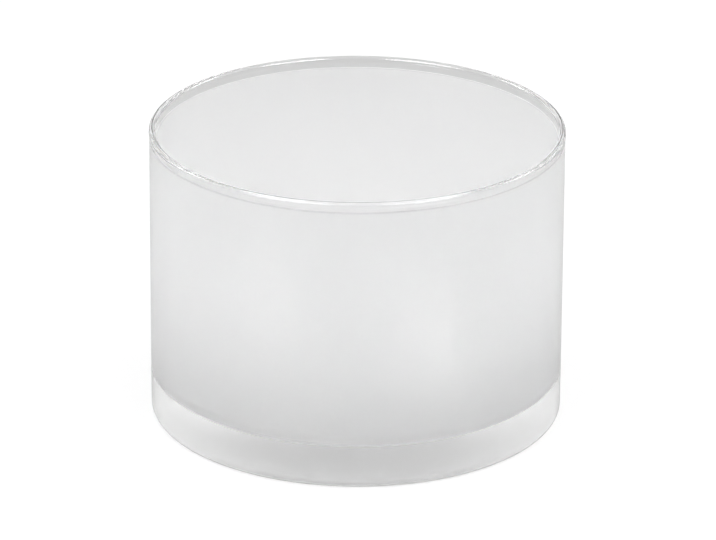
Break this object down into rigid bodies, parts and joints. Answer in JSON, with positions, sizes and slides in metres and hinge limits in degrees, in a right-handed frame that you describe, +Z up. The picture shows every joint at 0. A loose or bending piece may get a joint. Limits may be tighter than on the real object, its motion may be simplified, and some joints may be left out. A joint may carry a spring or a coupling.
{
  "type": "tumbler",
  "caption": "Low, wide round tumbler: clear glass body with a heavy base and a rounded lip, lined inside with white opal glass.",
  "frame": {"origin": "centre of the circle that the tumbler stands on, in the plane of its flat standing ring", "axes": "+Z up the tumbler's axis of symmetry, from the standing face to the lip; +X and +Y are any two square directions, because the tumbler is round"},
  "size_m": [0.0954, 0.0954, 0.0686],
  "materials": {
    "clear_glass": "polished clear glass, fire-polished at the lip",
    "opal_glass": "satin white opal glass that lets a little light through"
  },
  "bodies": {
    "root": {"clear_body": "clear_glass", "opal_lining": "opal_glass"}
  },
  "joints": []
}
